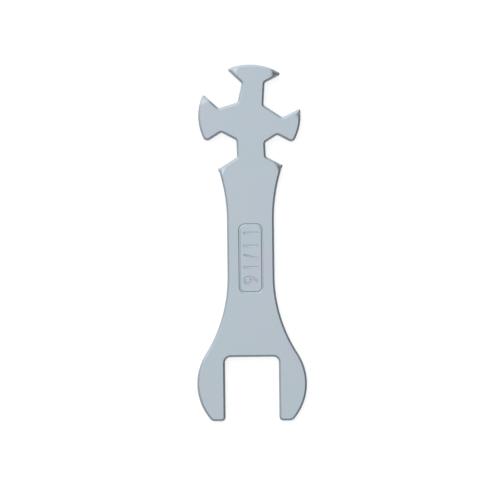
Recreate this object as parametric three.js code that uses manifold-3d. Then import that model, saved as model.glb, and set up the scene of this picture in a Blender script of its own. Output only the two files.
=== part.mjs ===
// Camp stove wrench: one flat blank, stamped from plated steel sheet, with no moving parts.
// Millimetres, +Z up. The plate lies on its back face at z = 0, head towards +Y and jaw towards -Y,
// with the origin under the middle of its length and width.
import * as THREE from "three";
import { mergeVertices, toCreasedNormals } from "three/addons/utils/BufferGeometryUtils.js";
import Module from "manifold-3d";

const wasm = await Module();
wasm.setup();

const INCH = 25.4;
const HEXAGON_TURN = 60; // degrees between one side of a hexagon and the next

// Sheet. Blanking drags the front face down along its edges and leaves the back edges square.
const THICKNESS = 2.66; // 12 gauge steel
const ROLL_WIDTH = 0.75; // how far in from the edge the front face starts to roll over
const ROLL_DEPTH = 0.4; // how far it drops by the edge
const ROLL_STEPS = 3; // facets across the roll
const CHORD_TOLERANCE = 0.008; // farthest that a facet strays from a true arc
const CREASE_DEGREES = 40; // faces that meet more gently than this are shaded as one

// Overall plan
const OVERALL_LENGTH = 116.5; // crown of the head to the ends of the prongs
const HEAD_DIAMETER = 33.5; // disc that the two side arms are cut from
const CROWN_RADIUS = 20; // flatter outer edge of the top arm
const HANDLE_WIDTH = 15.4;
const SHOULDER_FLARE_RADIUS = 54; // hollow curve from the handle out to the shoulders
const SHOULDER_FLARE_START = 34; // below the head's centre, where the handle stops being straight
const JAW_FLARE_RADIUS = 47.5; // hollow curve from the handle out to the jaw

// Open jaw
const NUT_CLEARANCE = 0.15; // every opening is this much wider than its nut
const JAW_NUT = (11 / 16) * INCH;
const JAW_DEPTH = 20.9;
const JAW_HEAD_DIAMETER = 35.9; // round outside of the jaw
const PRONG_END_WIDTH = 4.35; // flat end of each prong, before its corners are rounded

// Hexagon slots round the head: nut size, nut centre from the head's centre, and the way the mouth faces
const SLOTS = {
  lower_right: { nut: (5 / 16) * INCH, x: 9.2, y: -10.9, mouthDegrees: -28 },
  upper_right: { nut: (1 / 2) * INCH, x: 11.3, y: 6.8, mouthDegrees: 26.5 },
  upper_left: { nut: (7 / 16) * INCH, x: -8.6, y: 8.9, mouthDegrees: 137 },
  lower_left: { nut: (3 / 8) * INCH, x: -9.1, y: -10.85, mouthDegrees: 212 },
};

// Corner radii of the outline
const JAW_CORNER_RADIUS = 1.85;
const PRONG_INNER_RADIUS = 1.25;
const PRONG_OUTER_RADIUS = 2;
const SLOT_CORNER_RADIUS = 0.9;
const TIP_RADIUS = 0.8; // upper tips of the arms, and the shoulders
const HEEL_RADIUS = 1.5; // blunter lower tips of the two side arms

// Places that follow from the sizes
const HEAD_CENTRE = new THREE.Vector2(0, OVERALL_LENGTH / 2 - HEAD_DIAMETER / 2);
const PRONG_END_Y = -OVERALL_LENGTH / 2;
const JAW_FLOOR_Y = PRONG_END_Y + JAW_DEPTH;
const HALF_JAW = (JAW_NUT + NUT_CLEARANCE) / 2;
const HALF_HANDLE = HANDLE_WIDTH / 2;
const PRONG_END_REACH = HALF_JAW + PRONG_END_WIDTH;
const JAW_SETBACK = Math.sqrt((JAW_HEAD_DIAMETER / 2) ** 2 - PRONG_END_REACH ** 2);
const JAW_CENTRE = new THREE.Vector2(0, PRONG_END_Y + JAW_SETBACK);

// The outline is a loop of directed edges with the steel on their left. A line has a point and a direction.
// An arc has a centre, a radius and a sense: +1 runs anticlockwise round steel, -1 clockwise round a hollow.
const SMOOTH = null; // a joint where the two edges are tangent
const RIGHT = new THREE.Vector2(1, 0);
const UP = new THREE.Vector2(0, 1);
const DOWN = new THREE.Vector2(0, -1);
const at = (x, y) => new THREE.Vector2(x, y);
const line = (point, direction) => ({ point, direction });
const arc = (centre, radius, sense) => ({ centre, radius, sense });
const leftOf = (direction) => at(-direction.y, direction.x);

// The same edge moved sideways, to its left if distance is positive.
function shifted(edge, distance) {
  if (edge.centre) return arc(edge.centre, edge.radius - edge.sense * distance, edge.sense);
  return line(edge.point.clone().addScaledVector(leftOf(edge.direction), distance), edge.direction);
}

// Where a line crosses another line.
function lineMeetsLine(a, b) {
  const between = b.point.clone().sub(a.point);
  const travel = between.cross(b.direction) / a.direction.cross(b.direction);
  return a.point.clone().addScaledVector(a.direction, travel);
}

// Where a line runs into an arc's circle, or comes out of it.
function lineMeetsArc(straight, round, comesOut) {
  const middle = foot(straight, round.centre);
  const reach = Math.sqrt(round.radius ** 2 - middle.distanceToSquared(round.centre));
  return middle.addScaledVector(straight.direction, comesOut ? reach : -reach);
}

// The place on an edge that is nearest to a point.
function foot(edge, point) {
  if (edge.centre) return point.clone().sub(edge.centre).setLength(edge.radius).add(edge.centre);
  const travel = point.clone().sub(edge.point).dot(edge.direction);
  return edge.point.clone().addScaledVector(edge.direction, travel);
}

// Where one edge crosses the next: a line enters steel from an anticlockwise arc and leaves into one.
function crossing(edge, next) {
  if (edge.centre) return lineMeetsArc(next, edge, edge.sense < 0);
  if (next.centre) return lineMeetsArc(edge, next, next.sense > 0);
  return lineMeetsLine(edge, next);
}

// Where two tangent edges touch.
function touching(edge, next) {
  if (!edge.centre) return foot(edge, next.centre);
  return foot(edge, next.centre ?? foot(next, edge.centre));
}

// The way an edge runs at a point on it.
function headingAt(edge, point) {
  return edge.centre ? leftOf(point.clone().sub(edge.centre)).multiplyScalar(edge.sense) : edge.direction;
}

// The corner between an edge and the next: the arc that rounds it, and where that arc starts and ends.
function corner(edge, radius, next) {
  if (radius === SMOOTH) {
    const point = touching(edge, next);
    return { start: point, end: point };
  }
  const sharp = crossing(edge, next);
  const turn = Math.sign(headingAt(edge, sharp).cross(headingAt(next, sharp)));
  const centre = crossing(shifted(edge, turn * radius), shifted(next, turn * radius));
  return { start: foot(edge, centre), end: foot(next, centre), round: arc(centre, radius, turn) };
}

// Points along an arc, close enough together to keep to the chord tolerance.
function alongArc({ centre, radius, sense }, start, end) {
  const from = start.clone().sub(centre).angle();
  const to = end.clone().sub(centre).angle();
  const sweep = THREE.MathUtils.euclideanModulo(sense * (to - from), 2 * Math.PI);
  const steps = Math.ceil(sweep / (2 * Math.acos(1 - CHORD_TOLERANCE / radius)));
  return new THREE.EllipseCurve(centre.x, centre.y, radius, radius, from, to, sense < 0).getPoints(steps);
}

// A slot for a hexagon nut: two flanks that grip it and two flats that meet at its inner corner.
// tipRadius rounds the tip where the second flank leaves the steel.
function slotEdges({ nut, x, y, mouthDegrees }, tipRadius) {
  const acrossFlats = nut + NUT_CLEARANCE;
  const side = acrossFlats / Math.sqrt(3);
  const mouth = at(1, 0).rotateAround(at(0, 0), THREE.MathUtils.degToRad(mouthDegrees));
  const inwards = mouth.clone().negate();
  const centre = at(x, y).add(HEAD_CENTRE);
  const innerCorner = centre.clone().addScaledVector(inwards, side);
  const flank = (way) => centre.clone().addScaledVector(leftOf(mouth), (way * acrossFlats) / 2);
  const flat = (degrees) => mouth.clone().rotateAround(at(0, 0), THREE.MathUtils.degToRad(degrees));
  return [
    [line(flank(-1), inwards), SLOT_CORNER_RADIUS],
    [line(innerCorner, flat(2 * HEXAGON_TURN)), SLOT_CORNER_RADIUS],
    [line(innerCorner, flat(HEXAGON_TURN)), SLOT_CORNER_RADIUS],
    [line(flank(1), mouth), tipRadius],
  ];
}

// A flare touches the handle's side at a given height, on the right (side +1) or the left (side -1).
function flare(side, radius, height) {
  return arc(at(side * (HALF_HANDLE + radius), height), radius, -1);
}

// Height at which the jaw's flare leaves the handle, so that it also touches the jaw's round outside.
function jawFlareHeight() {
  const reach = JAW_FLARE_RADIUS + JAW_HEAD_DIAMETER / 2;
  return JAW_CENTRE.y + Math.sqrt(reach ** 2 - (HALF_HANDLE + JAW_FLARE_RADIUS) ** 2);
}

function wrenchEdges() {
  const headRim = arc(HEAD_CENTRE, HEAD_DIAMETER / 2, 1);
  const crown = arc(at(0, OVERALL_LENGTH / 2 - CROWN_RADIUS), CROWN_RADIUS, 1);
  const jawRim = arc(JAW_CENTRE, JAW_HEAD_DIAMETER / 2, 1);
  const prongEnd = line(at(0, PRONG_END_Y), RIGHT);
  const shoulderFlareHeight = HEAD_CENTRE.y - SHOULDER_FLARE_START;
  return [
    [prongEnd, PRONG_INNER_RADIUS],
    [line(at(-HALF_JAW, 0), UP), JAW_CORNER_RADIUS],
    [line(at(0, JAW_FLOOR_Y), RIGHT), JAW_CORNER_RADIUS],
    [line(at(HALF_JAW, 0), DOWN), PRONG_INNER_RADIUS],
    [prongEnd, PRONG_OUTER_RADIUS],
    [jawRim, SMOOTH],
    [flare(1, JAW_FLARE_RADIUS, jawFlareHeight()), SMOOTH],
    [line(at(HALF_HANDLE, 0), UP), SMOOTH],
    [flare(1, SHOULDER_FLARE_RADIUS, shoulderFlareHeight), TIP_RADIUS],
    ...slotEdges(SLOTS.lower_right, HEEL_RADIUS),
    [headRim, TIP_RADIUS],
    ...slotEdges(SLOTS.upper_right, TIP_RADIUS),
    [crown, TIP_RADIUS],
    ...slotEdges(SLOTS.upper_left, TIP_RADIUS),
    [headRim, HEEL_RADIUS],
    ...slotEdges(SLOTS.lower_left, TIP_RADIUS),
    [flare(-1, SHOULDER_FLARE_RADIUS, shoulderFlareHeight), SMOOTH],
    [line(at(-HALF_HANDLE, 0), DOWN), SMOOTH],
    [flare(-1, JAW_FLARE_RADIUS, jawFlareHeight()), SMOOTH],
    [jawRim, PRONG_OUTER_RADIUS],
  ];
}

// The loop of edges as one closed shape: each edge runs from the corner before it to the corner after it.
function outlineShape(edges) {
  const corners = edges.map(([edge, radius], i) => corner(edge, radius, edges[(i + 1) % edges.length][0]));
  const points = edges.flatMap(([edge], i) => {
    const before = corners.at(i - 1);
    const after = corners[i];
    const run = edge.centre ? alongArc(edge, before.end, after.start) : [before.end, after.start];
    const rounding = after.round ? alongArc(after.round, after.start, after.end) : [after.start];
    return [...run.slice(1), ...rounding.slice(1)];
  });
  return new THREE.Shape(points);
}

// A faceted surface as a solid that can be cut, and below it a solid as a faceted surface again.
function solidOf(geometry) {
  geometry.deleteAttribute("normal");
  geometry.deleteAttribute("uv");
  const { attributes, index } = mergeVertices(geometry);
  const vertProperties = attributes.position.array;
  const triVerts = Uint32Array.from(index.array);
  return new wasm.Manifold(new wasm.Mesh({ numProp: 3, vertProperties, triVerts }));
}

function geometryOf(solid) {
  const { vertProperties, triVerts } = solid.getMesh();
  const geometry = new THREE.BufferGeometry();
  geometry.setAttribute("position", new THREE.BufferAttribute(vertProperties, 3));
  geometry.setIndex(new THREE.BufferAttribute(triVerts, 1));
  return toCreasedNormals(geometry, THREE.MathUtils.degToRad(CREASE_DEGREES));
}

// The outline, extruded with the roll at both ends and standing one thickness too deep.
function rolledBlank() {
  const blank = new THREE.ExtrudeGeometry(outlineShape(wrenchEdges()), {
    depth: 2 * THICKNESS - 2 * ROLL_DEPTH,
    bevelThickness: ROLL_DEPTH,
    bevelSize: ROLL_WIDTH,
    bevelOffset: -ROLL_WIDTH,
    bevelSegments: ROLL_STEPS,
  });
  return blank.translate(0, 0, ROLL_DEPTH - THICKNESS);
}

// The block under the back face, which takes away the spare half and leaves square back edges.
function underside() {
  const size = 2 * OVERALL_LENGTH;
  return new THREE.BoxGeometry(size, size, size).translate(0, 0, -size / 2);
}

function wrenchPlate() {
  const geometry = geometryOf(solidOf(rolledBlank()).subtract(solidOf(underside())));
  const platedSteel = new THREE.MeshStandardMaterial({ color: 0xb5c2ca, roughness: 0.32, metalness: 1 });
  const plate = new THREE.Mesh(geometry, platedSteel);
  plate.name = "wrench_plate";
  return plate;
}

const wrench = new THREE.Group();
wrench.add(wrenchPlate());

export default wrench;
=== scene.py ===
# %% [markdown]
# # A camp stove wrench
# The real tool is a single blank that a press punched out of steel sheet and a plating bath
# then covered in zinc. Nothing on it moves, so this lesson is about one piece seen close: how a
# punched edge rolls over, how it sags at the tips, and how plated steel takes the light.
# The CAD solid is loaded first and is never moved. It gives every place and size used below.

# %% Load the solid that the look is built around
import math

import bmesh
import bpy
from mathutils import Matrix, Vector


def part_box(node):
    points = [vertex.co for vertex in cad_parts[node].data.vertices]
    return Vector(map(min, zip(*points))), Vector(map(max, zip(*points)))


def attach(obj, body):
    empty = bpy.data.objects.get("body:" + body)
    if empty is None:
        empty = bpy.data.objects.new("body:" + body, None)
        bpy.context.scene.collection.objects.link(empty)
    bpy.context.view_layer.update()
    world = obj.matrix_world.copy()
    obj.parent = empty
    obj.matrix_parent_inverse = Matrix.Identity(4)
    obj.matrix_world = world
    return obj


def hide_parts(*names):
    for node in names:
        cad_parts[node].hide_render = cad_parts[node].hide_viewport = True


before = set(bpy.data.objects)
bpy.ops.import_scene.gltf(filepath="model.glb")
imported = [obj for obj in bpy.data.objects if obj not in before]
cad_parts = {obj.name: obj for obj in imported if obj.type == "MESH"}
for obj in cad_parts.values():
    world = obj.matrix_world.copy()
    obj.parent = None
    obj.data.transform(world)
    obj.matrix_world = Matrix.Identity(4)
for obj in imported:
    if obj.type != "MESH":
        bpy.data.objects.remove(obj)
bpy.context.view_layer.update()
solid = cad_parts["wrench_plate"]
low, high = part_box("wrench_plate")
MM = 0.001
thickness = (high.z - low.z) / MM
size = [round((top - bottom) / MM, 2) for bottom, top in zip(low, high)]
print("solid", solid.name, "measures", size, "mm")

# %% [markdown]
# ## The outline of the blank
# The punch and the die share one outline, and the solid already has it. Drawing it again would
# only add mistakes, so a copy of the solid is merged and sliced at half its thickness, and the
# slice is kept. The copy is also made a thousand times larger while it is worked on: one unit is
# then one millimetre, and Blender's tools are at their most exact at that size.

# %% Slice a copy of the solid
SAME_POINT = 1e-6
STRAIGHT = math.radians(0.2)


def only(piece):
    """Makes this the one selected and active object."""
    bpy.ops.object.select_all(action="DESELECT")
    piece.select_set(True)
    bpy.context.view_layer.objects.active = piece


plate = bpy.data.objects.new("stamped_plate", solid.data.copy())
bpy.context.scene.collection.objects.link(plate)
plate.data.materials.clear()
only(plate)
bpy.ops.object.mode_set(mode="EDIT")
bpy.ops.mesh.select_all(action="SELECT")
bpy.ops.mesh.remove_doubles(threshold=SAME_POINT)
bpy.ops.transform.resize(value=(1 / MM,) * 3, center_override=(0, 0, 0))
middle = thickness / 2
bpy.ops.mesh.bisect(
    plane_co=(0, 0, middle), plane_no=(0, 0, 1), use_fill=True, clear_inner=True, clear_outer=True
)
bpy.ops.mesh.select_all(action="SELECT")
bpy.ops.mesh.dissolve_limited(angle_limit=STRAIGHT)
bpy.ops.mesh.select_all(action="SELECT")
bpy.ops.transform.translate(value=(0, 0, -middle))
print("the outline has", len(bmesh.from_edit_mesh(plate.data).verts), "corners")

# %% [markdown]
# The long straight runs of the outline are only two points each. The tips will be pulled down
# later, and a pull needs points to act on, so every long edge is halved until it is short. The
# face is taken away first and filled again afterwards, which keeps it in one piece.

# %% Give the outline more points
LONGEST_STEP = 0.5


def select(piece, kind, test):
    """In edit mode, selects only the verts, edges or faces that pass a test, and counts them."""
    mode = {"verts": "VERT", "edges": "EDGE", "faces": "FACE"}[kind]
    bpy.ops.mesh.select_mode(type=mode)
    bpy.ops.mesh.select_all(action="DESELECT")
    mesh = bmesh.from_edit_mesh(piece.data)
    chosen = [part for part in getattr(mesh, kind) if test(part)]
    for part in chosen:
        part.select_set(True)
    mesh.select_flush_mode()
    bmesh.update_edit_mesh(piece.data)
    return len(chosen)


bpy.ops.mesh.delete(type="ONLY_FACE")
while select(plate, "edges", lambda edge: edge.calc_length() > LONGEST_STEP):
    bpy.ops.mesh.subdivide(number_cuts=1)
bpy.ops.mesh.select_all(action="SELECT")
bpy.ops.mesh.edge_face_add()
print("the outline now has", len(bmesh.from_edit_mesh(plate.data).verts), "points")

# %% [markdown]
# ## Thickness and the rolled front edge
# As a punch enters the sheet it drags the metal down, so the front face bends over at the edge
# before it tears. That die roll is about twice as wide as it is deep. A bevel is as deep as it is
# wide, so the blank is extruded too thick by the same ratio, beveled, and squeezed back: the
# round becomes the flat curve of a real roll. The back edge only had its burr tumbled off.

# %% Extrude the blank and roll its edges
ROLL_WIDTH = 0.75
ROLL_DEPTH = 0.4
ROLL_STEPS = 7
ROLL_PROFILE = 0.31
BURR_BREAK = 0.15
BURR_STEPS = 3
NEAR = 0.01
stretch = ROLL_WIDTH / ROLL_DEPTH
tall = thickness * stretch
bpy.ops.mesh.select_all(action="SELECT")
bpy.ops.mesh.extrude_region_move(TRANSFORM_OT_translate={"value": (0, 0, tall)})
bpy.ops.mesh.select_all(action="SELECT")
bpy.ops.mesh.normals_make_consistent(inside=False)
select(plate, "edges", lambda edge: min(v.co.z for v in edge.verts) > tall - NEAR)
bpy.ops.mesh.bevel(offset=ROLL_WIDTH, segments=ROLL_STEPS, profile=ROLL_PROFILE, clamp_overlap=False)
bpy.ops.mesh.select_all(action="SELECT")
bpy.ops.transform.resize(value=(1, 1, 1 / stretch), center_override=(0, 0, 0))
select(plate, "edges", lambda edge: max(v.co.z for v in edge.verts) < NEAR)
bpy.ops.mesh.bevel(offset=BURR_BREAK, segments=BURR_STEPS, profile=0.5, clamp_overlap=False)
print("rolled plate has", len(bmesh.from_edit_mesh(plate.data).faces), "faces")

# %% [markdown]
# ## The sagging tips
# At a narrow tip there is little metal to resist the punch, so the roll runs further in and the
# tip droops. On the real tool the six sharp tips of the head show this as a small bright or dark
# facet, and the two blunt heels of the side arms do not. The tips are found where the front face
# turns sharply, and each gets a fan of edges across it, as if cut with a knife from side to side,
# so that there is something to bend.

# %% Find the tips and cut chords across them
TIP_WINDOW = 0.35
TIP_TURN = math.radians(70)
TIP_SPACING = 2
HEAD_BOTTOM = 20
CHORD_SPACING = 0.3
CHORD_COUNT = 9
FACING_UP = 0.9


def front_face(piece):
    """The large flat face on the front, in edit mode."""
    faces = bmesh.from_edit_mesh(piece.data).faces
    return max((f for f in faces if f.normal.z > FACING_UP), key=lambda f: f.calc_area())


def turning(places, start):
    """How far the loop of places turns within the window that starts here, and where its middle is."""
    count = len(places)
    total, gone, at = 0, 0, start
    while gone < TIP_WINDOW:
        before, here, after = (places[(at + shift) % count] for shift in (-1, 0, 1))
        total -= (here - before).angle_signed(after - here)
        gone += (after - here).length
        at += 1
    return total, places[(start + at) // 2 % count]


def walk(places, start, way, reach):
    """The first of the places, going one way round the loop, that is this far from the start."""
    at = start
    while (places[at] - places[start]).length < reach:
        at = (at + way) % len(places)
    return at


ring = [(vert.index, vert.co.xy.copy()) for vert in front_face(plate).verts]
places = [place for index, place in ring]
turns = sorted((turning(places, start) for start in range(len(places))), key=lambda t: -t[0])
tips = []
chords = []
for turn, tip in turns:
    fresh = all((tip - other).length > TIP_SPACING for other, outward, sharpness in tips)
    if turn > TIP_TURN and tip.y > HEAD_BOTTOM and fresh:
        start = places.index(tip)
        for step in range(1, CHORD_COUNT + 1):
            chords.append([walk(places, start, way, CHORD_SPACING * step) for way in (1, -1)])
        base = (places[chords[-1][0]] + places[chords[-1][1]]) / 2
        tips.append((tip, (tip - base).normalized(), turn / turns[0][0]))
for ends in chords:
    corners = [ring[end][0] for end in ends]
    select(plate, "verts", lambda vert: vert.index in corners)
    bpy.ops.mesh.vert_connect()
for tip, outward, sharpness in tips:
    print("tip at", tuple(round(c, 1) for c in tip), "sharpness", round(sharpness, 2))
print(len(chords), "chords cut")

# %% [markdown]
# Two moves with proportional editing shape each tip: what is selected goes all the way, and the
# metal round it follows less and less. The first draws the very end out to a point. The second lets
# everything past the tip droop. The back of the plate lay flat on the die, so it is hidden for the
# second move, because hidden points stay where they are.

# %% Draw the tips out and pull them down
TIP_DRAW = 0.3
TIP_DRAW_REACH = 0.76
TIP_SAG = 0.5
TIP_REACH = 2.4
NOSE_LENGTH = 1.5
NOSE_END = 0.745


def select_past(tip, outward, distance):
    """Selects the visible points near a tip that lie at least this far past it."""
    def is_past(vert):
        away = vert.co.xy - tip
        return not vert.hide and away.length < NOSE_LENGTH and away.dot(outward) > distance
    return select(plate, "verts", is_past)


for tip, outward, sharpness in tips:
    print("points drawn out:", select_past(tip, outward, NOSE_END))
    bpy.ops.transform.translate(
        value=(*(outward * TIP_DRAW), 0),
        use_proportional_edit=True,
        proportional_edit_falloff="LINEAR",
        proportional_size=TIP_DRAW_REACH,
    )
select(plate, "verts", lambda vert: vert.co.z < middle)
bpy.ops.mesh.hide()
for tip, outward, sharpness in tips:
    select_past(tip, outward, 0)
    bpy.ops.transform.translate(
        value=(0, 0, -TIP_SAG * sharpness),
        use_proportional_edit=True,
        proportional_edit_falloff="SHARP",
        proportional_size=TIP_REACH * sharpness,
    )
bpy.ops.mesh.reveal(select=False)
bpy.ops.object.mode_set(mode="OBJECT")
print("the sharpest tip sags by", TIP_SAG, "mm over", TIP_REACH, "mm")

# %% [markdown]
# ## The coined panel
# The handle carries a shallow struck panel: a line round a long field, and in it the size of the
# jaw in plain numbers. A coining tool leaves a groove with a round bottom, so the line is cut with
# a round tube. The tube starts as a plane with its corners rounded, becomes a curve, and gets
# its thickness as a curve bevel.

# %% Make the tube that cuts the panel's line
PANEL_CENTRE = (0, -5.1)
PANEL_WIDTH = 7.4
PANEL_LENGTH = 22.2
PANEL_CORNER = 1.8
PANEL_CORNER_STEPS = 8
LINE_RADIUS = 0.5
LINE_DEPTH = 0.17
LINE_ROUNDNESS = 6
bpy.ops.mesh.primitive_plane_add(size=1, location=(0, 0, 0))
line = bpy.context.object
line.name = "panel_line_cutter"
bpy.ops.object.mode_set(mode="EDIT")
bpy.ops.transform.resize(value=(PANEL_WIDTH, PANEL_LENGTH, 1), center_override=(0, 0, 0))
bpy.ops.mesh.bevel(
    offset=PANEL_CORNER, segments=PANEL_CORNER_STEPS, affect="VERTICES", clamp_overlap=False
)
bpy.ops.mesh.delete(type="ONLY_FACE")
bpy.ops.mesh.select_all(action="SELECT")
line_height = thickness + LINE_RADIUS - LINE_DEPTH
bpy.ops.transform.translate(value=(*PANEL_CENTRE, line_height))
bpy.ops.object.mode_set(mode="OBJECT")
bpy.ops.object.convert(target="CURVE")
line.data.bevel_depth = LINE_RADIUS
line.data.bevel_resolution = LINE_ROUNDNESS
bpy.ops.object.convert(target="MESH")
print("panel line cutter has", len(line.data.polygons), "faces")

# %% [markdown]
# The numbers are a text object, widened and rounded by the text's own bevel so that the sides of
# the strokes slope. It is turned into a mesh and merged, and only then moved into place, reading
# down the handle.

# %% Make the numbers that are struck inside the line
NUMBER_SIZE = 6.8
NUMBER_DEPTH = 0.17
NUMBER_ROUND = 0.2
NUMBER_SWELL = 0.03
NUMBER_SPACING = 1.25
NUMBER_ROUNDNESS = 4
NUMBER_SAME_POINT = 1e-4
bpy.ops.object.text_add(location=(0, 0, 0))
numbers = bpy.context.object
numbers.name = "panel_number_cutter"
numbers.data.body = "11/16"
numbers.data.align_x = "CENTER"
numbers.data.align_y = "CENTER"
numbers.data.size = NUMBER_SIZE
numbers.data.extrude = NUMBER_ROUND
numbers.data.bevel_depth = NUMBER_ROUND
numbers.data.offset = NUMBER_SWELL - NUMBER_ROUND
numbers.data.bevel_resolution = NUMBER_ROUNDNESS
numbers.data.space_character = NUMBER_SPACING
bpy.ops.object.convert(target="MESH")
bpy.ops.object.mode_set(mode="EDIT")
bpy.ops.mesh.select_all(action="SELECT")
bpy.ops.mesh.remove_doubles(threshold=NUMBER_SAME_POINT)
bpy.ops.mesh.normals_make_consistent(inside=False)
bpy.ops.object.mode_set(mode="OBJECT")
number_box = [Vector(corner) for corner in numbers.bound_box]
centre = (number_box[0] + number_box[6]) / 2
numbers.location = -centre
bpy.ops.object.transform_apply(location=True, rotation=False, scale=False)
numbers.rotation_euler.z = -math.pi / 2
lowest = -numbers.dimensions.z / 2
numbers.location = (*PANEL_CENTRE, thickness - NUMBER_DEPTH - lowest)
bpy.ops.object.transform_apply(location=True, rotation=True, scale=True)
print("numbers measure", [round(side, 2) for side in numbers.dimensions], "mm")

# %% Strike the panel into the front face
for cutter in (line, numbers):
    only(plate)
    strike = plate.modifiers.new("strike", "BOOLEAN")
    strike.operation = "DIFFERENCE"
    strike.solver = "EXACT"
    strike.object = cutter
    bpy.ops.object.modifier_apply(modifier="strike")
    only(cutter)
    bpy.ops.object.delete()
print("struck plate has", len(plate.data.polygons), "faces")

# %% [markdown]
# ## Back to real size, and smooth shading
# The finished plate is shrunk to metres in its mesh, so that the object itself stays unscaled.
# Smoothing by angle rounds the rolls and keeps true corners. The flat face meets many thin
# strips, which would tilt its shading, so a weighted normal lets the largest face decide.

# %% Shrink and shade the plate
SMOOTH_ANGLE = math.radians(38)
LARGEST_FACE_WINS = 100
only(plate)
bpy.ops.object.mode_set(mode="EDIT")
bpy.ops.mesh.select_all(action="SELECT")
bpy.ops.transform.resize(value=(MM,) * 3, center_override=(0, 0, 0))
bpy.ops.object.mode_set(mode="OBJECT")
bpy.ops.object.shade_smooth_by_angle(angle=SMOOTH_ANGLE)
weighted = plate.modifiers.new("weighted", "WEIGHTED_NORMAL")
weighted.keep_sharp = True
weighted.weight = LARGEST_FACE_WINS
bpy.ops.object.modifier_apply(modifier="weighted")
check = bmesh.new()
check.from_mesh(plate.data)
open_edges = sum(not edge.is_manifold for edge in check.edges)
print("plate in metres", [round(side, 5) for side in plate.dimensions], "open edges", open_edges)
check.free()

# %% [markdown]
# ## Plated steel
# Zinc over rolled sheet is a grey metal with a cold, slightly blue passivation. Seen close, it is
# never one colour: the bath leaves faint clouds, tumbling leaves tiny dents, and years in a box of
# camping gear leave hairline scratches. The punched sides are different again: a burnished band
# where the punch slid, and below it a duller, torn band where the sheet broke. That torn band's
# grey is partly its own duller tone and partly painted shade, and its pits are painted darker
# still, as painted shade in the hollows.
# All of it is nodes on Object coordinates. A small class lets the maths read as Python.

# %% Define sockets that can be added, multiplied and compared
class Value:
    """An output socket. Arithmetic on it adds Math nodes to the same tree."""

    def __init__(self, nodes, socket):
        self.nodes = nodes
        self.socket = socket

    def maths(self, operation, first, second):
        return self.nodes.add("ShaderNodeMath", {"operation": operation}, {0: first, 1: second})

    def __add__(self, other):
        return self.maths("ADD", self, other)

    def __sub__(self, other):
        return self.maths("SUBTRACT", self, other)

    def __rsub__(self, other):
        return self.maths("SUBTRACT", other, self)

    def __mul__(self, other):
        return self.maths("MULTIPLY", self, other)

    def larger(self, other):
        return self.maths("MAXIMUM", self, other)

    __radd__ = __add__
    __rmul__ = __mul__


class Nodes:
    """A node tree that is emptied and then built up node by node."""

    def __init__(self, tree):
        self.tree = tree
        tree.nodes.clear()

    def add(self, kind, settings=None, sockets=None, output=0):
        """Adds a node, sets it, fills or links its sockets, and gives one of its outputs."""
        node = self.tree.nodes.new(kind)
        for name, value in (settings or {}).items():
            setattr(node, name, value)
        for name, value in (sockets or {}).items():
            if isinstance(value, Value):
                self.tree.links.new(value.socket, node.inputs[name])
            else:
                node.inputs[name].default_value = value
        return Value(self, node.outputs[output]) if len(node.outputs) else node

    def fade(self, value, start, end):
        """0 where a value is at start, 1 where it is at end, with a soft step between."""
        return self.add(
            "ShaderNodeMapRange",
            {"interpolation_type": "SMOOTHSTEP"},
            {"Value": value, "From Min": start, "From Max": end, "To Min": 0.0, "To Max": 1.0},
        )

    def blend(self, share, first, second):
        """A colour that goes from the first to the second as the share goes from 0 to 1."""
        return self.add(
            "ShaderNodeMix",
            {"data_type": "RGBA"},
            {"Factor": share, 6: first, 7: second},
            output=2,
        )


print("node helpers are ready")

# %% Set out where the finish changes
PLATED_GREY = (0.462, 0.540, 0.591, 1)
VIOLET_GREY = (0.490, 0.540, 0.605, 1)
BURNISHED_GREY = (0.420, 0.480, 0.520, 1)
# Torn band grey: the torn metal's duller tone, darkened further as painted shade.
TORN_AND_SHADED_GREY = (0.290, 0.310, 0.322, 1)
# Pit grey: painted shade in the hollows, where the torn band's relief is lowest.
PIT_SHADE_GREY = (0.190, 0.200, 0.205, 1)
LEANING = (0.99, 0.90)
STANDING = (0.45, 0.15)
STANDING_UNDER = (-0.45, -0.15)
plated = bpy.data.materials.new("zinc_plated_steel")
plated.use_nodes = True
steel = Nodes(plated.node_tree)
where = steel.add("ShaderNodeTexCoord", output="Object")
facing = steel.add("ShaderNodeTexCoord", output="Normal")
upward = steel.add("ShaderNodeSeparateXYZ", sockets={0: facing}, output="Z")
depth = steel.add("ShaderNodeSeparateXYZ", sockets={0: where}, output="Z")
leaning = steel.fade(upward, *LEANING)
standing = steel.fade(upward, *STANDING) * steel.fade(upward, *STANDING_UNDER)
print("finish built from", len(plated.node_tree.nodes), "nodes so far")

# %% [markdown]
# Clouds are a broad noise, and dents and grain are finer ones. Scratches are noise that is squeezed
# hard in one direction and cut off near its top, so only thin streaks stay. Three directions are
# enough for them to look like chance.

# %% Clouds, dents and scratches
CLOUD_SCALE = 70.0
CLOUD_ROUGHNESS = 0.55
PATCH_SCALE = 260.0
DENT_SCALE = 1800.0
GRAIN_SCALE = 9000.0
SCRATCH_SCALE = 95.0
SCRATCH_SQUEEZE = (1.0, 0.012, 1.0)
SCRATCH_TURNS = (0.3, 1.25, 2.2)
SCRATCH_CUT = (0.70, 0.76)


def speckle(vector, scale, detail, **more):
    """Noise at a scale, counted in lumps to the metre."""
    sockets = {"Vector": vector, "Scale": scale, "Detail": detail, **more}
    return steel.add("ShaderNodeTexNoise", None, sockets)


clouds = speckle(where, CLOUD_SCALE, 5.0, Roughness=CLOUD_ROUGHNESS)
patches = speckle(where, PATCH_SCALE, 3.0)
dents = speckle(where, DENT_SCALE, 3.0)
grain = speckle(where, GRAIN_SCALE, 2.0)
scratches = 0.0
for turn in SCRATCH_TURNS:
    turned = steel.add(
        "ShaderNodeMapping",
        {"vector_type": "TEXTURE"},
        {"Vector": where, "Rotation": (0, 0, turn), "Scale": SCRATCH_SQUEEZE},
    )
    streaks = speckle(turned, SCRATCH_SCALE, 4.0)
    scratches = steel.fade(streaks, *SCRATCH_CUT) + scratches
print("finish built from", len(plated.node_tree.nodes), "nodes so far")

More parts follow.
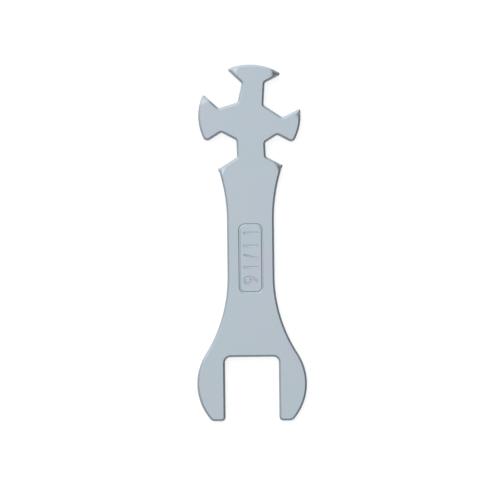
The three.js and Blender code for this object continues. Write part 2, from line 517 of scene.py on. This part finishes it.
# %% Put the colour together
CLOUD_TINT = (0.35, 0.68)
DRAG_SCALE = 5200.0
DRAG_STRETCH = (1.0, 1.0, 0.06)
DRAG_TINT = (0.3, 0.7)
TEAR_LINE = (1.25 * MM, 0.95 * MM)
TEAR_WANDER = 1.2 * MM
TEAR_FRAY = 0.4 * MM
PIT_SHADE_CUT = (0.58, 0.40)
tint = steel.blend(steel.fade(clouds, *CLOUD_TINT), PLATED_GREY, VIOLET_GREY)
drag = steel.add(
    "ShaderNodeMapping", {"vector_type": "POINT"}, {"Vector": where, "Scale": DRAG_STRETCH}
)
drag_lines = speckle(drag, DRAG_SCALE, 3.0)
tear_height = depth + (patches - 0.5) * TEAR_WANDER + (drag_lines - 0.5) * TEAR_FRAY
torn = steel.fade(tear_height, *TEAR_LINE)
# Painted shade: the torn band is darkened, most of all at the low spots of its relief.
torn_and_shaded_colour = steel.blend(steel.fade(grain * 0.6 + dents * 0.4, *PIT_SHADE_CUT), TORN_AND_SHADED_GREY, PIT_SHADE_GREY)
side = steel.blend(torn, BURNISHED_GREY, torn_and_shaded_colour)
side_colour = steel.blend(steel.fade(drag_lines, *DRAG_TINT) * 0.35, side, TORN_AND_SHADED_GREY)
colour = steel.blend(standing, tint, side_colour)
print("colour built from", len(plated.node_tree.nodes), "nodes so far")

# %% Add the gloss and the relief
PLATED_ROUGHNESS = 0.30
BUMP_STRENGTH = 0.35
BUMP_HEIGHT = 0.02 * MM
roughness = PLATED_ROUGHNESS + (clouds - 0.5) * 0.10 + scratches * 0.10 + leaning * 0.08
roughness = roughness + standing * (0.06 + torn * 0.22)
relief = (dents - 0.5) * 0.5 + (grain - 0.5) * 0.12 - scratches * 0.35
relief = relief + standing * ((drag_lines - 0.5) * 1.4 + torn * (grain * 5.0 + dents * 4.0))
bump = steel.add(
    "ShaderNodeBump", None, {"Strength": BUMP_STRENGTH, "Distance": BUMP_HEIGHT, "Height": relief}
)
surface = steel.add(
    "ShaderNodeBsdfPrincipled",
    None,
    {"Base Color": colour, "Metallic": 1.0, "Roughness": roughness, "Normal": bump},
)
steel.add("ShaderNodeOutputMaterial", None, {"Surface": surface})
plate.data.materials.append(plated)
print("finish has", len(plated.node_tree.nodes), "nodes")

# %% [markdown]
# ## Join the plate to the frame
# The dressed plate stands for the solid, which stays in the frame unseen.

# %% Let the plate ride on its body
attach(plate, "root")
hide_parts("wrench_plate")
print("plate rides on root and stands for wrench_plate")

# %% [markdown]
# ## The table top
# The wrench lies on a plain white sweep. A white card under studio light is only as bright as the
# light on it, so the floor adds a little glow of its own for rays from the camera and from
# mirrors. The light it gathers from the lamps is kept as well, and with it the soft shadow.

# %% Lay the floor
FLOOR_SIZE = 40
FLOOR_GAP = 0.00002
FLOOR_WHITE = (0.4, 0.4, 0.4, 1)
FLOOR_GLOW = 0.78
bpy.ops.mesh.primitive_plane_add(size=FLOOR_SIZE, location=(0, 0, low.z - FLOOR_GAP))
floor = bpy.context.object
floor.name = "white_sweep"
card = bpy.data.materials.new("white_card")
card.use_nodes = True
paper = Nodes(card.node_tree)
seen = paper.add("ShaderNodeLightPath", output="Is Camera Ray")
mirrored = paper.add("ShaderNodeLightPath", output="Is Glossy Ray")
through = paper.add("ShaderNodeLightPath", output="Is Transmission Ray")
glow = paper.add("ShaderNodeEmission", None, {"Strength": (seen + mirrored + through) * FLOOR_GLOW})
matt = paper.add("ShaderNodeBsdfDiffuse", None, {"Color": FLOOR_WHITE})
both = paper.add("ShaderNodeAddShader", None, {0: glow, 1: matt})
paper.add("ShaderNodeOutputMaterial", None, {"Surface": both})
floor.data.materials.append(card)
print("floor is", FLOOR_SIZE, "m wide at height", round(floor.location.z, 6))

# %% [markdown]
# ## Light
# Metal shows its surroundings, so the light is arranged as a picture to be mirrored. A softbox
# hangs over the plate, fills the flat face evenly and throws the shadow. The rest is painted in the
# room: a bright wall past the head and to the left, for the rolls and tips that lean that way, and
# a dark side on the right, which draws the dark line along the edges there. Low down all round the
# room is pale again, so that the face stays silver when it is seen from the side.

# %% Paint the room
world = bpy.data.worlds.new("studio_room")
bpy.context.scene.world = world
world.use_nodes = True
room = Nodes(world.node_tree)
LIT_SIDE = 0.57
RIGHT_SHADE = 0.88
RIGHT_FADE = (0.05, 0.85)
LOWER_SHADE = 0.37
LOWER_FADE = (-0.05, -0.85)
KEY_LEVEL = 1.08
KEY_SIDE = (-0.6, 0.8, 0.0)
KEY_EDGE = (0.28, 0.4)
KEY_OVERHEAD = (0.62, 0.76)
KEY_PAST_HEAD = (0.16, 0.38)
HORIZON_LEVEL = 0.95
HORIZON_FADE = (0.46, 0.32)
towards = room.add("ShaderNodeTexCoord", output="Generated")
across = room.add("ShaderNodeSeparateXYZ", sockets={0: towards}, output="X")
along = room.add("ShaderNodeSeparateXYZ", sockets={0: towards}, output="Y")
height = room.add("ShaderNodeSeparateXYZ", sockets={0: towards}, output="Z")
keyward = room.add(
    "ShaderNodeVectorMath",
    {"operation": "DOT_PRODUCT"},
    {0: towards, 1: KEY_SIDE},
    output="Value",
)
right_shade = room.fade(across, *RIGHT_FADE) * RIGHT_SHADE
lower_shade = room.fade(along, *LOWER_FADE) * LOWER_SHADE
tent = LIT_SIDE * (1 - right_shade.larger(lower_shade))
key_reach = room.fade(height, *KEY_OVERHEAD).larger(room.fade(along, *KEY_PAST_HEAD))
bright = tent + room.fade(keyward, *KEY_EDGE) * key_reach * KEY_LEVEL
pale = room.fade(height, *HORIZON_FADE) * HORIZON_LEVEL
backdrop = room.add("ShaderNodeBackground", None, {"Strength": bright.larger(pale)})
room.add("ShaderNodeOutputWorld", None, {"Surface": backdrop})
print("room has", len(world.node_tree.nodes), "nodes")

# %% Hang the softbox
SOFTBOX_PLACE = (-0.08, 0.08, 1.2)
SOFTBOX_AIM = (-0.08, 0.08, 0)
SOFTBOX_SIDE = 1.2
SOFTBOX_RADIANCE = 0.59


def softbox(name, place, aim, width, depth, radiance):
    """A rectangular lamp at a place, turned to a point. Its power follows from its brightness."""
    lamp = bpy.data.lights.new(name, "AREA")
    lamp.shape = "RECTANGLE"
    lamp.size = width
    lamp.size_y = depth
    lamp.energy = radiance * math.pi * width * depth
    holder = bpy.data.objects.new(name, lamp)
    bpy.context.scene.collection.objects.link(holder)
    holder.location = place
    holder.rotation_euler = (Vector(aim) - Vector(place)).to_track_quat("-Z", "Y").to_euler()
    print(name, "gives", round(lamp.energy, 2), "W")


softbox("overhead_softbox", SOFTBOX_PLACE, SOFTBOX_AIM, SOFTBOX_SIDE, SOFTBOX_SIDE, SOFTBOX_RADIANCE)

# %% [markdown]
# ## The camera
# The photograph looks straight down from a distance. The plate's length in it fixes the scale, and
# its centre and its small lean fix where the camera stands and how it is turned.

# %% Set up the camera
PICTURE_SIDE = 500
PLATE_LENGTH_PIXELS = 356.3
PLATE_CENTRE_PIXEL = (250.75, 242.8)
PLATE_LEAN = math.radians(0.6)
LENS = 150
SENSOR = 36
pixel = (high.y - low.y) / PLATE_LENGTH_PIXELS
distance = PICTURE_SIDE * pixel * LENS / SENSOR
right = (PICTURE_SIDE / 2 - PLATE_CENTRE_PIXEL[0]) * pixel
up = (PLATE_CENTRE_PIXEL[1] - PICTURE_SIDE / 2) * pixel
view = bpy.data.cameras.new("straight_above")
view.lens = LENS
view.sensor_width = SENSOR
camera = bpy.data.objects.new("straight_above", view)
bpy.context.scene.collection.objects.link(camera)
camera.location = (
    right * math.cos(PLATE_LEAN) + up * math.sin(PLATE_LEAN),
    up * math.cos(PLATE_LEAN) - right * math.sin(PLATE_LEAN),
    high.z - ROLL_DEPTH * MM + distance,
)
camera.rotation_euler = (0, 0, -PLATE_LEAN)
bpy.context.scene.camera = camera
bpy.context.scene.view_settings.view_transform = "Standard"
print("one pixel is", round(pixel / MM, 4), "mm, and the camera is", round(distance, 3), "m away")
